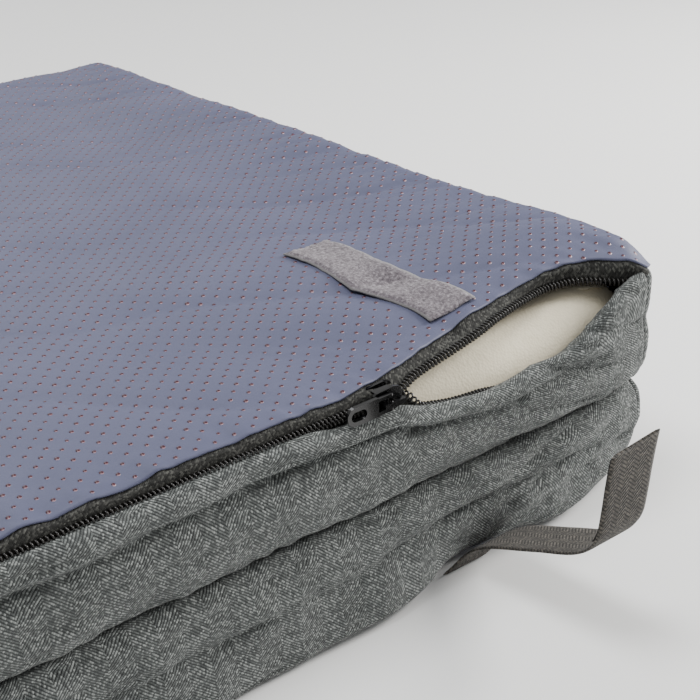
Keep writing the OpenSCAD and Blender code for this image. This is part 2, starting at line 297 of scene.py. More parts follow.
def outline_point(s):
    """Point and outward normal on the rounded outline; s is the distance anticlockwise from
    the middle of the front edge, seen from above."""
    a = HALF_W - CORNER_R
    b = HALF_D - CORNER_R
    s = np.mod(np.asarray(s, float), PERIMETER)
    point = np.zeros(s.shape + (2,))
    normal = np.zeros(s.shape + (2,))
    # straight runs as (length, start, heading in degrees), and the centres of the corners between them
    runs = [(a, (0, -HALF_D), 0), (2 * b, (HALF_W, -b), 90), (2 * a, (a, HALF_D), 180),
            (2 * b, (-HALF_W, b), 270), (a, (-a, -HALF_D), 0)]
    centres = [(a, -b), (a, b), (-a, b), (-a, -b)]
    at = 0.0
    for k, (run, start, degrees) in enumerate(runs):
        here = (s >= at) & (s <= at + run)
        h = math.radians(degrees)
        point[here] = np.array(start) + (s[here] - at)[:, None] * np.array([math.cos(h), math.sin(h)])
        normal[here] = math.sin(h), -math.cos(h)
        at += run
        if k < len(centres):
            here = (s >= at) & (s <= at + QUARTER)
            turn = math.radians(degrees - 90) + (s[here] - at) / CORNER_R
            normal[here] = np.stack([np.cos(turn), np.sin(turn)], -1)
            point[here] = np.array(centres[k]) + CORNER_R * normal[here]
            at += QUARTER
    return point, normal


def spline_rows(control, count):
    """Resamples control points (k, n, axes) along k with a smooth curve to (count, n, axes)."""
    k = control.shape[0]
    at = np.linspace(0, k - 1, count)
    i = np.clip(at.astype(int), 0, k - 2)
    t = (at - i)[:, None, None]
    prev = control[np.clip(i - 1, 0, k - 1)]
    a, b = control[i], control[i + 1]
    following = control[np.clip(i + 2, 0, k - 1)]
    return hermite(t, a, b, (b - prev) / 2, (following - a) / 2)


def band_profile(pad, x, frontness, rows):
    """(outward, height) of the band's section at each column, from the zip side down to the knee side."""
    top = pad.lip_top(x)
    crease = pad.lip_crease(x)
    dip = pad.crease_depth(x)
    front = [
        (-2.5, top - 6), (-1.0, top - 2), (1.2, top - 0.2), (3.6, top), (5.6, top - 2.2), (6.3, top - 5.5),
        (5.9, (top + crease) / 2 - 2.5), (5.4 - 0.75 * dip, crease + 1.8), (5.3 - dip, crease),
        (5.3 - 0.35 * dip, crease - 2.4), (6.0, crease * 0.72), (5.9, crease * 0.5),
        (5.2, crease * 0.3), (3.4, crease * 0.12 + 0.8), (0.4, 0.9), (-3.5, 0.35), (-7.0, 0.3),
    ]
    edge = PAD_T - 4.5
    side = [
        (-3.2, edge - 3), (-1.2, edge - 1.0), (0.2, edge - 0.3), (1.2, edge - 1.2), (2.2, edge - 3.5),
        (2.9, edge - 7), (3.2, edge - 11), (3.4, edge - 15), (3.5, edge - 19), (3.5, edge - 23),
        (3.4, edge - 27), (3.1, edge - 31), (2.4, 11), (1.2, 5.5), (-0.8, 1.6), (-3.8, 0.5), (-7.0, 0.3),
    ]
    f, g = (np.array([np.stack([out + 0 * x, z + 0 * x], -1) for out, z in line]) for line in (front, side))
    mix = smooth(frontness)[None, :, None]
    return spline_rows(f * mix + g * (1 - mix), rows)


def band_points(pad, s, rows):
    """Surface of the band over outline distances s, in the row frame."""
    point, normal = outline_point(s)
    x = point[:, 0]
    frontness = np.clip((-normal[:, 1] - 0.5) * 3.0, 0, 1)
    section = band_profile(pad, x, frontness, rows)
    out, z = section[..., 0], section[..., 1]
    v = np.linspace(0, 1, rows)[:, None]
    s = s[None, :]
    seam = np.min([np.abs(np.mod(s - turn + PERIMETER / 2, PERIMETER) - PERIMETER / 2)
                   for turn in corner_seams()], axis=0)
    calm = smooth(seam / 14)
    middle = smooth(v / 0.16) * smooth((1 - v) / 0.12) * calm
    # long soft folds that run along the band, and short puckers beside its seams
    out = out + middle * 0.8 * folds(s * 0.35, z, pad.seed, 17, 78, 26)
    out = out + middle * 0.55 * ripple(s, z * 1.6, pad.seed + 1, 46)
    pucker = np.exp(-((v - 0.9) / 0.08) ** 2) + 0.8 * np.exp(-((v - 0.52) / 0.05) ** 2)
    out = out + pucker * 0.45 * ripple(s, 0 * z, pad.seed + 2, 13) * smooth((1 - v) / 0.05) * calm
    # broad slackness toward the zip's open end
    slack = smooth((x - 90) / 80)[None, :] * frontness[None, :]
    out = out + slack * middle * 1.5 * folds(s * 0.5, z, pad.seed + 5, 26, 66, 20)
    z = z + middle * slack * 0.8 * ripple(s, z, pad.seed + 6, 60)
    out = out - 2.2 * middle * (1 - frontness)[None, :]
    # the upright corner seams draw the cloth in
    out = out - 1.1 * np.exp(-(seam / 1.3) ** 2) * smooth(v / 0.1) * smooth((1 - v) / 0.06)
    out = out + 0.5 * np.exp(-((seam - 3.2) / 1.6) ** 2) * smooth(v / 0.16) * smooth((1 - v) / 0.12)
    # the back bands keep behind the hinge, so that they clear each other when the pad opens
    backness = smooth((normal[:, 1] - 0.3) / 0.5)[None, :]
    out = out - backness * np.clip(out - BACK_OUT, 0, None)
    # the front right corner is a little smaller, more so on the lower pad, whose bottom edge sits back
    corner = np.exp(-((s - S_FRONT_RIGHT - QUARTER / 2) / 24) ** 2)
    out = out - 4.4 * corner
    if pad.up < 0:
        near_ground = smooth((z - 20) / 28)
        out = out - pad.set_back(x)[None, :] * frontness[None, :] * near_ground
        out = out - corner * (2.0 + 2.5 * near_ground)
    p = np.empty(out.shape + (3,))
    p[..., :2] = point[None] + normal[None] * out[..., None]
    p[..., 2] = z
    return pad.place(p)


def corner_seams():
    """Outline distances of the four upright seams."""
    off = SEAM_TURN * CORNER_R
    return [S_FRONT_RIGHT + off, S_BACK_RIGHT + QUARTER - off, S_BACK_LEFT + off,
            S_FRONT_LEFT + QUARTER - off]


def rise_at(distance, wide):
    """Height of a quarter-round edge: 0 at the rim, 1 from wide inward."""
    return np.sqrt(np.clip(1 - (1 - np.clip(distance / wide, 0, 1)) ** 2, 0, 1))


def panel_height(pad, x, y):
    """Height of the non-slip cloth in the pad's own frame."""
    side = HALF_W - np.abs(x)
    back = HALF_D - y
    lip = np.clip(HALF_D + y - pad.drawn_panel(x), 0, None)
    if pad.up < 0:
        flat = PAD_T - 0.9 - 0.15 * (1 + ripple(x, y, 15, 60)) - 1.6 * np.exp(-lip / 5.0)
        for d in (side, back):
            flat = flat - 4.0 * (1 - rise_at(d, 9))
        return flat
    # the crown rises from the zip over this distance, sooner by the mouth, and rounds off at the sides
    z = PAD_T - 0.2
    base = pad.edge_lift(x)
    reach = 62 - 30 * smooth((x - 150) / 60) - 13 * smooth((x - 222) / 16)
    full = base + (1 - base) * smooth(lip / reach)
    wide = 13 - 4.5 * smooth((x - 180) / 50) * smooth((-y - 110) / 60)
    for d in (side, back):
        rise = rise_at(d, wide)
        z = z - 4.3 * (1 - rise)
        full = full * rise
    z = z + full * (9.1 - 4.7 * smooth((np.minimum(side, back) - 12) / 75))
    z = z + 2.6 * rise_at(side, wide) * np.exp(-((x - 222) / 48) ** 2 - ((y + 198) / 44) ** 2)
    z = z - 1.4 * np.exp(-lip / 5.0)
    # broad folds across the top, short tucks beside the side seams, puckers along the zip
    inside = smooth(np.minimum(side, back) / 25) * (0.2 + 0.8 * smooth(lip / 30))
    z = z + inside * 1.2 * folds(x, y, 5, 85, 55, 36)
    z = z + inside * 0.7 * ripple(x, y, 6, 150)
    by_mouth = smooth((x - 150) / 50) * smooth((-y - 150) / 50)
    tucks = 1.3 * (1 - 0.7 * by_mouth) * smooth(side / 12) * np.exp(-side / 60) * smooth(lip / 20)
    z = z + tucks * folds(x, y, 8, 34, 80, 30)
    near = np.exp(-lip / 11)
    return z + near * (0.5 * ripple(x, 0 * y, 9, 24) + 0.25 * ripple(x, y, 10, 11))


def corner_cut(x):
    """How far the panels' rounded corners draw their front and back edges in."""
    over = np.clip(np.abs(x) - (HALF_W - PANEL_R), 0, PANEL_R)
    return PANEL_R - np.sqrt(np.clip(PANEL_R**2 - over**2, 0, None))


def panel_front(pad, x):
    """y of the non-slip cloth's front edge."""
    return -HALF_D + 1.0 + corner_cut(x) + pad.drawn_panel(x)


def panel_xs(count):
    """Columns across a panel, closer together at the two side edges."""
    widest = math.pi / 2 * 0.86
    return (HALF_W + OVERHANG) * np.sin(np.linspace(-1, 1, count) * widest) / math.sin(widest)


def grip_panel(pad, count):
    """The non-slip cloth; the lower one's front right corner is pulled in."""
    xs = np.clip(panel_xs(count), -HALF_W, HALF_W)
    t = np.linspace(0, 1, count)
    t = (0.72 * t + 0.28 * smooth(t))[:, None]
    y0 = panel_front(pad, xs)
    y1 = HALF_D - corner_cut(xs)
    y = y0 + (y1 - y0) * t
    x = np.broadcast_to(xs, y.shape)
    z = panel_height(pad, x, y)
    out = x * (1 + OVERHANG / HALF_W * smooth((HALF_W - np.abs(x)) / -6 + 1))
    pull = 0.0 if pad.mouth else 9 * np.exp(-(np.hypot(x - HALF_W, y + HALF_D) / 26) ** 2)
    p = pad.place(np.stack([out - pull, y + 0.4 * pull, z], -1))
    return grid_object(pad.name + "_grip_cloth", p, flip=pad.up < 0, uv=np.stack([x, y], -1))


def knee_panel(pad, count):
    """The kneeling side's cloth, drawn slightly in along its edge seam."""
    xs = panel_xs(count)
    t = np.linspace(0, 1, count)[:, None]
    inset = 6.5
    # its corners are a little fuller than the non-slip cloth's, so that they reach the bands
    cut = corner_cut(xs * 0.985)
    y0 = -HALF_D + cut + inset
    y1 = HALF_D - cut - inset
    y = y0 + (y1 - y0) * t
    x = np.broadcast_to(xs * (HALF_W - inset) / (HALF_W + OVERHANG), y.shape)
    edge = np.minimum(HALF_W - inset - np.abs(x), np.minimum(y - y0, y1 - y))
    z = 0.3 + 0.5 * np.exp(-edge / 3) + 0.1 * (1 + ripple(x, y, pad.seed + 9, 70))
    p = pad.place(np.stack([x, y, z], -1))
    return grid_object(pad.name + "_knee_cloth", p, flip=pad.up > 0, uv=np.stack([x, y], -1))


def bands(pad):
    """The four side bands, each ending in the corner seams."""
    seams = corner_seams()
    seams.insert(0, seams[-1] - PERIMETER)
    made = {}
    for k, side in enumerate(("front", "right", "back", "left")):
        step, rows = (1.6, 54) if side == "front" else (3.0, 40)
        s = np.linspace(seams[k], seams[k + 1], int((seams[k + 1] - seams[k]) / step) + 1)
        p = band_points(pad, s, rows)
        made[side] = grid_object(f"{pad.name}_{side}_cloth", p, flip=pad.up > 0)
    return made


def foam(pad):
    """The foam core: a closed block with crowned edges that fills the cover."""
    s = np.linspace(0, PERIMETER, 520, endpoint=False)
    point, normal = outline_point(s)
    inset = 4.2 - 3.0 * np.clip(-normal[:, 1], 0, 1)
    inset = inset + (4.6 if pad.mouth else 9.5) * np.exp(-((s - S_FRONT_RIGHT - QUARTER / 2) / 26) ** 2)
    base, top = 1.8, PAD_T - 7.2
    small, large = 5.0, 22.0
    section = []
    for a in np.radians(np.linspace(0, 90, 6)):
        section.append((small - small * math.sin(a), base + small - small * math.cos(a)))
    for a in np.radians(np.linspace(0, 90, 16)):
        section.append((large - large * math.cos(a), top - large + large * math.sin(a)))
    rings = []
    for inward, z in section:
        ring = point - normal * (inset + inward)[:, None]
        height = z + 0.5 * ripple(s, 0 * s + z, pad.seed + 3, 70)
        rings.append(np.column_stack([ring, np.maximum(height, base)]))
    for share in (0.9, 0.7, 0.4):
        rings.append(np.column_stack([ring * share, 0 * s + top + 3.5 * smooth((1 - share) / 0.5)]))
    rings.insert(0, np.column_stack([rings[0][:, :2] * 0.5, 0 * s + base]))
    n = len(s)
    count = len(rings) * n
    rings = np.array(rings)
    ends = np.array([[0, 0, base], [0, 0, top + 3.5]])
    faces = grid_faces(len(rings), n, closed=True).tolist()
    faces += [[count, (i + 1) % n, i] for i in range(n)]
    faces += [[count + 1, count - n + i, count - n + (i + 1) % n] for i in range(n)]
    if pad.up < 0:
        faces = [f[::-1] for f in faces]
    return new_object(pad.name + "_foam_block", pad.place(np.vstack([rings.reshape(-1, 3), ends])), faces)


# ---------------------------------------------------------------- the zip
COIL_PITCH = 1.8
# half of a coil's width where it is meshed, and where it is free
COIL_HALF = 1.05
FREE_HALF = 1.55
TAPE_Y = -HALF_D - 0.9


def coil_line(pad, which, x):
    """Centre line of one coil: 1 on the panel side, -1 on the band side."""
    y = np.full_like(x, TAPE_Y - 0.9)
    z = np.full_like(x, CHAIN_Z) - 0.6 + which * COIL_HALF
    y = y + pad.drawn_coil(x)
    if not pad.mouth:
        z = z - 2.8 * smooth((x - 60) / 30) - 1.5 * smooth((-90 - x) / 20) * smooth((x + 195) / 12)
    else:
        open_up = smooth((x - SLIDER_X1 + 2) / 14)
        if which > 0:
            y = y + 1.6 * open_up * smooth((243 - x) / 12)
            z = z + open_up * 1.3 + 4.2 * smooth((x - 104) / 60) * smooth((240 - x) / 30)
        else:
            y = y - pad.drawn_coil(x) + open_up * 1.6 * smooth((x - 130) / 30)
            z = z + open_up * np.minimum(pad.lip_top(x) - 0.9 - z, 0) * smooth((x - SLIDER_X1 + 1) / 10)
            z = z - 3.2 * smooth((x - 138) / 22) * smooth((236 - x) / 12)
    return np.stack([x, y, z], -1)


def tangents(path):
    """Unit tangent of a path at each point."""
    t = np.gradient(path, axis=0)
    return t / np.linalg.norm(t, axis=1, keepdims=True)


def coil(pad, which, x0, x1, wide):
    """Points and faces of a moulded coil: flattened turns of nylon wire, one tooth each pitch."""
    deep, sides, per_turn = 1.0, 5, 9
    wire = 0.26 + 0.13 * wide
    turns = int((x1 - x0) / COIL_PITCH)
    n = turns * per_turn
    x = np.linspace(x0, x0 + turns * COIL_PITCH, n)
    base = coil_line(pad, which, x)
    angle = 2 * math.pi * np.arange(n) / per_turn + (math.pi if which < 0 else 0)
    tangent = tangents(base)
    outward = np.array([0, -0.86, 0.5]) if pad.mouth and which > 0 else np.array([0, -1.0, 0])
    across = np.cross(outward, tangent)
    across /= np.linalg.norm(across, axis=1, keepdims=True)
    outward = np.cross(tangent, across)
    c, q = np.cos(angle)[:, None], np.sin(angle)[:, None]
    centre = base + across * wide * c + outward * deep * q
    t2 = tangents(centre)
    side = across * c / wide + outward * q / deep
    side -= t2 * (side * t2).sum(1, keepdims=True)
    side /= np.linalg.norm(side, axis=1, keepdims=True)
    other = np.cross(t2, side)
    ring = 2 * math.pi * np.arange(sides) / sides
    p = centre[:, None] + wire * (np.cos(ring)[None, :, None] * side[:, None]
                                  + np.sin(ring)[None, :, None] * other[:, None])
    return pad.place(p).reshape(-1, 3), tube_faces(n, sides)


def meshed_chain(pad):
    """Both coils of the closed stretch, joined into one mesh."""
    start = -ZIP_END + 2
    end = SLIDER_X0 + 6 if pad.mouth else LOWER_END - 2
    first, faces = coil(pad, 1, start, end, COIL_HALF)
    second, more = coil(pad, -1, start + COIL_PITCH / 2, end, COIL_HALF)
    faces += [[v + len(first) for v in face] for face in more]
    return new_object(pad.name + "_chain_coils", np.vstack([first, second]), faces)


def tape_panel_side(pad):
    """Zip tape from under the non-slip cloth's folded edge down to the coil."""
    x = np.linspace(-ZIP_END, MOUTH_END if pad.mouth else LOWER_END, 330)
    y_edge = panel_front(pad, x)
    edge = np.stack([x, y_edge + 7.0, panel_height(pad, x, y_edge + 7.0) - 1.3], -1)
    roll = np.stack([x, y_edge - 0.1, panel_height(pad, x, y_edge) - 1.5], -1)
    coil = coil_line(pad, 1, x)
    low = coil + np.array([0, 1.3, -0.5])
    mid = (roll + low) / 2 + np.array([0, -0.5, 0.35])
    p = spline_rows(np.stack([edge, roll, mid, low]), 12)
    p[..., 1] += 0.12 * ripple(p[..., 0], p[..., 2], pad.seed + 20, 16)
    obj = grid_object(pad.name + "_tape_panel_side", pad.place(p), flip=pad.up > 0)
    return thicken(obj, TAPE_T)


def tape_band_side(pad):
    """Zip tape from the coil down behind the front band's lip."""
    x = np.linspace(-ZIP_END, 240 if pad.mouth else LOWER_END, 300)
    coil = coil_line(pad, -1, x)
    high = coil + np.array([0, 1.3, 0.3])
    low = np.stack([x, 0 * x - HALF_D + 0.6, np.minimum(pad.lip_top(x) - 8, coil[:, 2] - 11)], -1)
    mid = (high + low) / 2 + np.array([0, 0.2, 0])
    t = np.linspace(0, 1, 7)[:, None, None]
    p = high * (1 - t) ** 2 + 2 * mid * t * (1 - t) + low * t**2
    obj = grid_object(pad.name + "_tape_band_side", pad.place(p), flip=pad.up > 0)
    return thicken(obj, TAPE_T)


# ---------------------------------------------------------------- patches, straps, dots
def loop_patch(sign, side):
    """Fuzzy loop patch sewn on the non-slip cloth, a little wavy."""
    u = np.linspace(-STRAP_W / 2, STRAP_W / 2, 26)
    v = np.linspace(0, patch_hi[1] - patch_lo[1], 80)[:, None]
    tilt = -0.045 * sign
    wave = 1.1 * ripple(0 * v, v, 61 + sign, 60)
    x = sign * STRAP_X + u + (v - 46) * tilt + wave
    y = patch_lo[1] - 2 + v + 0.6 * ripple(u, 0 * u, 63 + sign, 30)[None, :]
    selvedge = smooth((STRAP_W / 2 - np.abs(u) - 1.2) / 1.0)[None, :]
    end = smooth(v / 1.0) * smooth((v[-1] - v) / 1.0)
    lift = 0.7 + selvedge * end * (0.9 + 0.22 * ripple(x, y, 65 + sign, 2.6, count=30))
    lift = lift + 0.5 * (1 + ripple(0 * x, y, 67 + sign, 34)) * smooth(np.abs(u) / 12)
    z = panel_height(UPPER, x, y) + lift
    p = UPPER.place(np.stack([x, y, z], -1))
    uv = np.stack([u + 0 * v, v + 0 * u], -1)
    return thicken(grid_object(side + "_loop_cloth", p, uv=uv), 0.6)


# side view of the webbing: (forward of the front band, height)
STRAP_PATH = [
    (-2.6, 1.4), (-1.4, 3.8), (0.9, 8.0), (5.0, 12.6), (10.6, 16.6), (17.5, 20.3), (25, 23.6), (34, 27.4),
    (44.5, 32), (55.5, 36.6), (63.5, 41), (69, 46.5), (72.6, 53.5), (74.4, 63.5), (75.9, 74.5),
    (77.4, 83.5), (78.8, 90.5),
]


def strap_side():
    """Evenly spaced centre line of the webbing and its left-hand normal."""
    path = np.array(STRAP_PATH, float)
    fine = spline_rows(path[:, None, :], 400)[:, 0]
    step = np.concatenate([[0], np.cumsum(np.linalg.norm(np.diff(fine, axis=0), axis=1))])
    at = np.linspace(0, step[-1], 110)
    line = np.column_stack([np.interp(at, step, fine[:, k]) for k in (0, 1)])
    t = np.gradient(line, axis=0)
    t /= np.linalg.norm(t, axis=1, keepdims=True)
    return at, line, np.column_stack([-t[:, 1], t[:, 0]])


def ribbon_object(name, x0, width, at, line, normal, depth, twist, slant=0.0):
    """A flat woven strip that follows a side view, with rounded selvedges."""
    half = width / 2
    u = np.linspace(-1, 1, 17)
    edge = np.sqrt(np.clip(1 - np.abs(u) ** 10, 0.05, 1))
    far = at[-1]
    cut = np.clip((at - far + 14) / 14, 0, 1)
    rows = []
    for side in (1, -1):
        k = np.arange(len(u)) if side > 0 else np.arange(len(u))[::-1]
        lift = side * depth / 2 * edge[k]
        sway = twist * (np.sin(at / far * math.pi * 0.9) - 11 * np.exp(-at / 7))
        out = line[:, :1] + normal[:, :1] * lift + 0 * u
        up = line[:, 1:] + normal[:, 1:] * lift + cut[:, None] * slant * u[k][None, :]
        x = x0 + half * u[k][None, :] + sway[:, None]
        rows.append(np.stack([x + 0 * out, -HALF_D - out, up], -1))
    p = np.concatenate(rows, 1)
    span = np.concatenate([half * u, half * u[::-1]])
    uv = np.stack(np.meshgrid(span, at), -1)
    return new_object(name, p, tube_faces(*p.shape[:2]), uv)


def strap(sign, side):
    return ribbon_object(side + "_webbing", sign * STRAP_X, STRAP_W, *strap_side(), 1.3, 0.8 * sign, 1.1)


def hook_patch(sign, side):
    """Hook tape on the strap's inner face."""
    at, line, normal = strap_side()
    pick = (at > at[-1] - 44) & (at < at[-1] - 3)
    return ribbon_object(side + "_hook_cloth", sign * STRAP_X, STRAP_W - 2.5, at[pick],
                         line[pick] + normal[pick] * 1.25, normal[pick], 1.0, 0.8 * sign)


# half of the dots' spacing along each side of the pad: every second place of the grid is left empty
DOT_STEP = 4.0
DOT_R = 0.92
DOT_H = 0.4


def dots(pad, around, rings):
    """Domed non-slip dots in staggered rows, joined into one mesh."""
    border = 8
    xs = np.arange(-HALF_W + border, HALF_W - border + 1, DOT_STEP)
    ys = np.arange(-HALF_D + 4, HALF_D - 6, DOT_STEP)
    x, y = np.meshgrid(xs, ys)
    i, j = np.meshgrid(np.arange(len(xs)), np.arange(len(ys)))
    keep = (i + j) % 2 == 0
    keep &= y > panel_front(pad, x) + 1.2
    keep &= y < HALF_D - corner_cut(x) - 6
    if pad.mouth:
        for sign in (-1, 1):
            inside = (np.abs(x - sign * STRAP_X) < STRAP_W / 2 + 1.5)
            inside &= (y > patch_lo[1] - 3) & (y < patch_hi[1] - 1)
            keep &= ~inside
    e = 0.5
    slope_x = (panel_height(pad, x + e, y) - panel_height(pad, x - e, y)) / (2 * e)
    slope_y = (panel_height(pad, x, y + e) - panel_height(pad, x, y - e)) / (2 * e)
    keep &= np.hypot(slope_x, slope_y) < 1.2
    x, y, slope_x, slope_y = x[keep], y[keep], slope_x[keep], slope_y[keep]
    z = panel_height(pad, x, y)
    rng = np.random.default_rng(5)
    size = 1 + 0.08 * rng.standard_normal(len(x))
    local = []
    for k in range(rings):
        a = math.pi / 2 * k / rings
        for m in range(around):
            b = 2 * math.pi * m / around
            reach = DOT_R * math.cos(a)
            local.append((reach * math.cos(b), reach * math.sin(b), DOT_H * math.sin(a)))
    local.append((0, 0, DOT_H))
    local = np.array(local)
    offset = local[None] * size[:, None, None]
    p = np.stack([x, y, z], -1)[:, None] + offset
    p[..., 2] += offset[..., 0] * slope_x[:, None] + offset[..., 1] * slope_y[:, None] - 0.08
    tip = len(local) - 1
    last = (rings - 1) * around
    caps = [(last + m, last + (m + 1) % around, tip) for m in range(around)]
    base = (np.arange(len(x)) * len(local))[:, None, None]
    faces = []
    for kind in (grid_faces(rings, around, closed=True), np.array(caps)):
        every = (kind[None] + base).reshape(-1, kind.shape[1])
        faces += every[:, ::pad.up].tolist()
    return new_object(pad.name + "_grip_dots", pad.place(p), faces)


def hinge_cloth():
    """Cloth strip sewn to both back edges."""
    x = np.linspace(strip_lo[0], strip_hi[0], 160)
    z = np.linspace(strip_lo[2], strip_hi[2], 40)[:, None]
    off = np.abs(z - (strip_lo[2] + strip_hi[2]) / 2)
    y = HALF_D + 0.9 + 2.6 * smooth((off - 1) / 9) * np.exp(-((off - 13) / 9) ** 2)
    y = y + 0.25 * ripple(x, z, 90, 14)
    p = np.stack([x + 0 * y, y, z + 0 * y], -1)
    return thicken(grid_object("hinge_cloth", p), 0.8, 1.0)


def corner_stitches(pad):
    """Thread lines down the upright seams: short five-sided threads with pointed ends."""
    sides = 5
    verts, faces = [], []
    for turn in corner_seams():
        p = band_points(pad, np.array([turn - 0.01, turn + 0.01]), 81).mean(1)
        normal = outline_point(np.array([np.mod(turn, PERIMETER)]))[1][0]
        out = np.array([normal[0], normal[1], 0])
        tangent = np.array([-normal[1], normal[0], 0])
        for k in range(7, 70, 2):
            base = len(verts)
            mid = (p[k] + p[k + 1]) / 2 + out * 0.35
            for t, r in ((-0.62, 0.1), (-0.35, 0.33), (0.35, 0.33), (0.62, 0.1)):
                for q in range(sides):
                    g = 2 * math.pi * q / sides
                    round_it = tangent * r * math.cos(g) + out * r * math.sin(g)
                    verts.append(mid + (p[k + 1] - p[k]) * t + round_it)
            faces += (grid_faces(4, sides, closed=True) + base).tolist()
            faces.append(tuple(base + q for q in range(sides))[::-1])
            faces.append(tuple(base + 3 * sides + q for q in range(sides)))
    return new_object(pad.name + "_corner_thread", verts, faces)


# ---------------------------------------------------------------- materials
class Look:
    """A material under construction: adds nodes and joins them."""

    def __init__(self, name):
        self.material = bpy.data.materials.new(name)
        self.material.use_nodes = True
        self.nodes = self.material.node_tree.nodes
        self.links = self.material.node_tree.links
        self.shader = self.nodes["Principled BSDF"]

    def node(self, kind, **settings):
        made = self.nodes.new(kind)
        for key, value in settings.items():
            setattr(made, key, value)
        return made

    def join(self, source, target):
        self.links.new(source, target)

    def math(self, operation, a, b=0.0):
        made = self.node("ShaderNodeMath", operation=operation)
        for socket, value in zip(made.inputs, (a, b)):
            if isinstance(value, (int, float)):
                socket.default_value = value
            else:
                self.join(value, socket)
        return made.outputs[0]

    def mix(self, factor, a, b):
        made = self.node("ShaderNodeMix", data_type="RGBA")
        self.join(factor, made.inputs["Factor"])
        for key, value in (("A", a), ("B", b)):
            if isinstance(value, tuple):
                made.inputs[key].default_value = value + (1,)
            else:
                self.join(value, made.inputs[key])
        return made.outputs["Result"]

    def noise(self, size_mm, detail, vector=None, stretch=(1, 1, 1)):
        made = self.node("ShaderNodeTexNoise")
        made.inputs["Scale"].default_value = 1000 / size_mm
        made.inputs["Detail"].default_value = detail
        scaled = self.node("ShaderNodeMapping")
        scaled.inputs["Scale"].default_value = stretch
        self.join(vector if vector is not None else self.place(), scaled.inputs["Vector"])
        self.join(scaled.outputs["Vector"], made.inputs["Vector"])
        return made.outputs["Fac"]

    def cells(self, size_mm):
        """Distance to the nearest of scattered points."""
        made = self.node("ShaderNodeTexVoronoi")
        made.inputs["Scale"].default_value = 1000 / size_mm
        self.join(self.place(), made.inputs["Vector"])
        return made.outputs["Distance"]

    def place(self):
        return self.node("ShaderNodeTexCoord").outputs["Object"]

    def cloth_uv(self):
        return self.node("ShaderNodeUVMap", uv_map="cloth").outputs["UV"]

    def ramp(self, factor, *stops):
        made = self.node("ShaderNodeValToRGB")
        elements = made.color_ramp.elements
        while len(elements) < len(stops):
            elements.new(0.5)
        for element, (at, colour) in zip(elements, stops):
            element.position = at
            element.color = colour + (1,)
        self.join(factor, made.inputs["Fac"])
        return made.outputs["Color"]

    def bump(self, height, distance_mm, strength=1.0, under=None):
        made = self.node("ShaderNodeBump")
        made.inputs["Strength"].default_value = strength
        made.inputs["Distance"].default_value = distance_mm * MM
        self.join(height, made.inputs["Height"])
        if under is not None:
            self.join(under, made.inputs["Normal"])
        return made.outputs["Normal"]

    def finish(self, colour, normal, roughness, **constants):
        self.join(colour, self.shader.inputs["Base Color"])
        if normal is not None:
            self.join(normal, self.shader.inputs["Normal"])
        self.shader.inputs["Roughness"].default_value = roughness
        for key, value in constants.items():
            self.shader.inputs[key.replace("_", " ")].default_value = value
        return self.material


def srgb(r, g, b):
    """Linear colour of an 8-bit sRGB one."""
    return tuple(v / 12.92 if v <= 0.04045 else ((v + 0.055) / 1.055) ** 2.4
                 for v in (r / 255, g / 255, b / 255))


# slope of a twill's ribs, and the length of the step (1, slope)
RIB_SLOPE = 0.93
RIB_STEP = 1.37


def twill(look, rib_mm, float_mm, stripe_mm=0.0):
    """Twill weave on the cloth coordinates: (random value for each float, height).
    A herringbone turns its ribs the other way every stripe_mm."""
    split = look.node("ShaderNodeSeparateXYZ")
    look.join(look.cloth_uv(), split.inputs[0])
    u = look.math("MULTIPLY", split.outputs[0], 1000.0)
    v = look.math("MULTIPLY", split.outputs[1], 1000.0)
    slant = u
    if stripe_mm:
        slant = look.math("PINGPONG", u, stripe_mm)
    across = look.math("ADD", look.math("MULTIPLY", slant, RIB_SLOPE), v)
    across = look.math("DIVIDE", across, rib_mm * RIB_STEP)
    along = look.math("SUBTRACT", slant, look.math("MULTIPLY", v, RIB_SLOPE))
    along = look.math("DIVIDE", along, float_mm * RIB_STEP)
    row = look.math("FLOOR", across)
    jog = look.node("ShaderNodeTexWhiteNoise", noise_dimensions="1D")
    look.join(row, jog.inputs["W"])
    along = look.math("ADD", along, look.math("MULTIPLY", jog.outputs[0], 0.5))
    along = look.math("ADD", along, look.math("MULTIPLY", row, 0.37))
    cell = look.node("ShaderNodeCombineXYZ")
    look.join(row, cell.inputs[0])
    look.join(look.math("FLOOR", along), cell.inputs[1])
    if stripe_mm:
        look.join(look.math("FLOOR", look.math("DIVIDE", u, stripe_mm)), cell.inputs[2])
    value = look.node("ShaderNodeTexWhiteNoise", noise_dimensions="3D")
    look.join(cell.outputs[0], value.inputs["Vector"])
    arches = []
    for part, power in ((across, 0.9), (along, 0.5)):
        wave = look.math("SINE", look.math("MULTIPLY", look.math("FRACT", part), math.pi))
        arches.append(look.math("POWER", look.math("MAXIMUM", wave, 0.0), power))
    height = look.math("MULTIPLY", arches[0], look.math("ADD", look.math("MULTIPLY", arches[1], 0.35), 0.65))
    return value.outputs[0], height


def melange_look():
    look = Look("melange")
    random, height = twill(look, 1.0, 0.72, 10.0)
    colour = look.ramp(random, (0.0, srgb(72, 75, 74)), (0.55, srgb(108, 112, 110)),
                       (1.0, srgb(166, 170, 167)))
    # painted shade: where the weave is low, between the threads, the colour is darkened toward near-black
    colour = look.mix(look.math("SUBTRACT", 1.0, height), colour, srgb(20, 22, 22))
    slub = look.noise(7, 3.0, look.cloth_uv(), (1, 4, 1))
    colour = look.mix(look.math("MULTIPLY", slub, 0.3), colour, srgb(70, 74, 74))
    return look.finish(colour, look.bump(height, 0.3), 0.86, Specular_IOR_Level=0.25, Sheen_Weight=0.12)


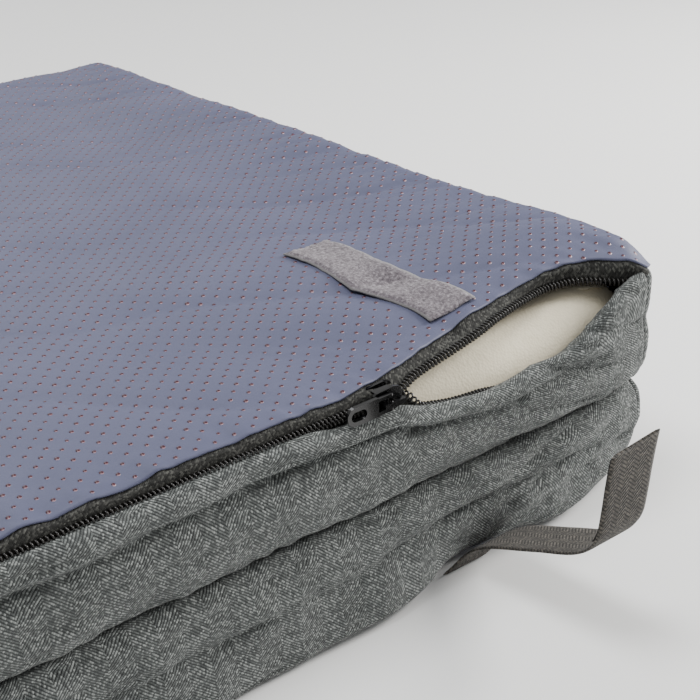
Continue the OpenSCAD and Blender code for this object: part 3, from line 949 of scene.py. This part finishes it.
def grip_look():
    look = Look("grip_cloth")
    broad = look.noise(45, 4.0)
    fine = look.noise(0.7, 3.0)
    colour = look.mix(broad, srgb(77, 80, 103), srgb(95, 97, 121))
    colour = look.mix(look.math("MULTIPLY", fine, 0.3), colour, srgb(66, 69, 94))
    crinkle = look.noise(9, 4.0)
    normal = look.bump(crinkle, 0.35, 0.8, look.bump(fine, 0.06))
    return look.finish(colour, normal, 0.58, Specular_IOR_Level=0.32)


def dot_look():
    """Dark red, half clear domes, with a painted highlight: lighter on the side that faces the front and the
    camera.
    """
    look = Look("grip_dots")
    facing = look.node("ShaderNodeVectorMath", operation="DOT_PRODUCT")
    look.join(look.node("ShaderNodeNewGeometry").outputs["Normal"], facing.inputs[0])
    facing.inputs[1].default_value = (-0.25, -0.75, 0.1)
    # painted highlight: the side of each dome that faces the front and the camera is mixed toward light pink
    painted_highlight = look.math("MULTIPLY", look.math("SUBTRACT", facing.outputs["Value"], 0.36), 3.0)
    colour = look.ramp(painted_highlight, (0.0, srgb(56, 18, 28)), (0.5, srgb(104, 52, 64)), (1.0, srgb(208, 178, 186)))
    grain = look.noise(2, 1.0)
    colour = look.mix(look.math("MULTIPLY", grain, 0.2), colour, srgb(90, 40, 52))
    return look.finish(colour, None, 0.3, Specular_IOR_Level=0.45)


def foam_look():
    look = Look("foam")
    cells = look.cells(1.1)
    grain = look.noise(5, 4.0)
    colour = look.mix(grain, srgb(218, 208, 182), srgb(230, 221, 197))
    colour = look.mix(look.math("MULTIPLY", cells, 0.15), colour, srgb(170, 160, 140))
    normal = look.bump(cells, 0.2, 0.6, look.bump(grain, 0.4, 0.5))
    return look.finish(colour, normal, 0.9, Specular_IOR_Level=0.2)


def tape_look():
    look = Look("zip_tape")
    random, height = twill(look, 0.7, 0.8)
    colour = look.ramp(random, (0.0, srgb(36, 36, 35)), (0.6, srgb(54, 54, 52)), (1.0, srgb(86, 86, 82)))
    return look.finish(colour, look.bump(height, 0.1), 0.85, Specular_IOR_Level=0.15)


def coil_look():
    look = Look("zip_coil")
    colour = look.mix(look.noise(4, 1.0), srgb(24, 23, 22), srgb(38, 36, 34))
    return look.finish(colour, None, 0.33, Specular_IOR_Level=0.5)


def lacquer_look():
    look = Look("zip_metal")
    grain = look.noise(0.5, 3.0)
    colour = look.mix(grain, srgb(6, 6, 7), srgb(13, 13, 14))
    return look.finish(colour, look.bump(grain, 0.015), 0.2, Metallic=0.3, Specular_IOR_Level=0.5,
                       Coat_Weight=0.5, Coat_Roughness=0.1)


def webbing_look():
    look = Look("webbing")
    random, height = twill(look, 1.35, 1.0, 3.6)
    fuzz = look.noise(0.9, 3.0, look.cloth_uv())
    colour = look.ramp(random, (0.0, srgb(58, 54, 49)), (0.5, srgb(76, 72, 66)), (1.0, srgb(104, 98, 90)))
    # painted shade: where the weave is low, between the threads, the colour is darkened toward near-black
    colour = look.mix(look.math("SUBTRACT", 1.0, height), colour, srgb(14, 13, 12))
    colour = look.mix(look.math("MULTIPLY", fuzz, 0.2), colour, srgb(50, 47, 44))
    return look.finish(colour, look.bump(height, 0.35, 0.9), 0.85, Specular_IOR_Level=0.25, Sheen_Weight=0.1)


def hook_look():
    look = Look("hook_tape")
    cells = look.cells(1.2)
    colour = look.ramp(cells, (0.1, srgb(74, 71, 70)), (0.8, srgb(38, 36, 36)))
    return look.finish(colour, look.bump(cells, 0.5, 0.9), 0.85, Specular_IOR_Level=0.2)


def loop_look():
    """Brushed pile between two flat woven selvedges."""
    look = Look("loop_tape")
    split = look.node("ShaderNodeSeparateXYZ")
    look.join(look.cloth_uv(), split.inputs[0])
    reach = look.math("ABSOLUTE", split.outputs[0])
    rim = look.math("MULTIPLY", look.math("SUBTRACT", reach, STRAP_W / 2 * MM - 0.0012), 4000.0)
    rim = look.math("MAXIMUM", look.math("MINIMUM", rim, 1.0), 0.0)
    tuft = look.noise(1.3, 5.0)
    patchy = look.noise(7, 3.0)
    colour = look.ramp(tuft, (0.3, srgb(76, 70, 74)), (0.5, srgb(106, 99, 104)), (0.72, srgb(152, 146, 151)))
    colour = look.mix(look.math("MULTIPLY", patchy, 0.4), colour, srgb(88, 80, 88))
    colour = look.mix(look.math("MULTIPLY", rim, 0.8), colour, srgb(118, 116, 116))
    return look.finish(colour, look.bump(tuft, 0.5, 0.9), 0.9, Specular_IOR_Level=0.15, Sheen_Weight=0.25)


def thread_look():
    look = Look("thread")
    colour = look.mix(look.noise(1.5, 1.0), srgb(38, 36, 37), srgb(60, 57, 58))
    return look.finish(colour, None, 0.7)


def floor_look():
    look = Look("floor")
    colour = look.mix(look.noise(400, 2.0), srgb(240, 240, 239), srgb(244, 244, 243))
    return look.finish(colour, None, 0.85, Specular_IOR_Level=0.15)


def paint(obj, material):
    obj.data.materials.clear()
    obj.data.materials.append(material)
    return obj


LOOKS = {
    "melange_fabric": melange_look(),
    "grip_fabric": grip_look(),
    "foam": foam_look(),
    "zip_tape": tape_look(),
    "zip_coil": coil_look(),
    "zip_metal": lacquer_look(),
    "webbing": webbing_look(),
    "hook_tape": hook_look(),
    "loop_tape": loop_look(),
}
DOTS = dot_look()
THREAD = thread_look()


# ---------------------------------------------------------------- assembly
def attach(obj, body, slot, replaced=(), look=None):
    """Paints a piece and hangs it on its body; a piece given two bodies, as for a joint, only has its
    placement baked into its mesh.
    """
    paint(obj, look or LOOKS[slot])
    if isinstance(body, tuple):
        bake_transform(obj)
    else:
        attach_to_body(obj, body)
    if replaced:
        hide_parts(*replaced)
    return obj


for pad in (UPPER, LOWER):
    body = pad.name + "_pad"
    block = attach(foam(pad), body, "foam", [pad.name + "_foam"])
    cloth = thicken(grip_panel(pad, 300 if pad.mouth else 160), CLOTH_T)
    panel = attach(cloth, body, "grip_fabric", [pad.name + "_grip_panel"])
    cloth = thicken(knee_panel(pad, 120), CLOTH_T)
    knee = attach(cloth, body, "melange_fabric", [pad.name + "_knee_panel"])
    for side, band in bands(pad).items():
        attach(thicken(band, CLOTH_T), body, "melange_fabric", [f"{pad.name}_{side}_band"])
    attach(corner_stitches(pad), body, "melange_fabric", look=THREAD)
    spots = dots(pad, 8, 3) if pad.mouth else dots(pad, 6, 2)
    attach(spots, body, "grip_fabric", look=DOTS)
    tapes = [tape_panel_side(pad), tape_band_side(pad)]
    names = [[pad.name + "_zip_tape_panel"], [pad.name + "_zip_tape_band"]]
    if pad.mouth:
        names[0].append("upper_zip_tape_mouth")
    for tape, replaced in zip(tapes, names):
        attach(tape, body, "zip_tape", replaced)
    attach(meshed_chain(pad), body, "zip_coil", [pad.name + "_zip_chain"])
    for part in ("slider", "puller"):
        metal = frame["nodes"][f"{pad.name}_zip_{part}"]
        paint(metal, LOOKS["zip_metal"])
        bevel = metal.modifiers.new("edges", "BEVEL")
        bevel.width = 0.0003
        bevel.segments = 2

for which, node in ((1, "upper_coil_panel"), (-1, "upper_coil_band")):
    free = new_object(node + "_turns", *coil(UPPER, which, SLIDER_X0 + 7, 240, FREE_HALF))
    attach(free, "upper_pad", "zip_coil", [node])

for sign, side in ((1, "right"), (-1, "left")):
    patch = attach(loop_patch(sign, side), "upper_pad", "loop_tape", [side + "_loop_patch"])
    web = attach(strap(sign, side), side + "_strap", "webbing", [side + "_strap"])
    hook = attach(hook_patch(sign, side), side + "_strap", "hook_tape", [side + "_hook"])
    strap_side()[0][-1] * MM

hinge = attach(hinge_cloth(), ("lower_pad", "upper_pad"), "melange_fabric", ["hinge_strip"])


# ---------------------------------------------------------------- floor, light, camera
def floor():
    r = 6000
    obj = new_object("floor", [(-r, -r, 0), (r, -r, 0), (r, r, 0), (-r, r, 0)], [(0, 1, 2, 3)])
    paint(obj, floor_look())


def soft_light(name, at, aim, size, power, colour):
    data = bpy.data.lights.new(name, "AREA")
    data.shape = "DISK"
    data.size = size
    data.energy = power
    data.color = colour
    obj = linked(name, data)
    obj.location = at
    obj.rotation_euler = (Vector(aim) - Vector(at)).to_track_quat("-Z", "Y").to_euler()


def camera():
    data = bpy.data.cameras.new("view")
    data.lens = 71.49
    data.sensor_width = 36
    data.clip_start = 0.01
    obj = linked("view", data)
    right = Vector((0.785, -0.6175, -0.0491)).normalized()
    back = -Vector((0.5384, 0.7193, -0.4391)).normalized()
    up = back.cross(right).normalized()
    right = up.cross(back)
    turn = Matrix((right, up, back)).transposed()
    obj.matrix_world = Matrix.Translation((-0.1905, -0.6057, 0.3421)) @ turn.to_4x4()
    bpy.context.scene.camera = obj


def world():
    made = bpy.data.worlds.new("studio")
    made.use_nodes = True
    sky = made.node_tree.nodes["Background"].inputs
    sky["Color"].default_value = (1, 1, 1, 1)
    sky["Strength"].default_value = 0.56
    bpy.context.scene.world = made


floor()
world()
soft_light("key", (1.36, -0.48, 0.62), (0.2, -0.2, 0.05), 0.6, 33, (1, 0.985, 0.96))
soft_light("overhead", (-0.3, -0.05, 1.8), (0, -0.05, 0.1), 0.8, 22, (0.98, 0.99, 1))
soft_light("back", (0.3, 1.6, 1.4), (0, 0, 0.1), 1.2, 12, (0.97, 0.98, 1))
camera()
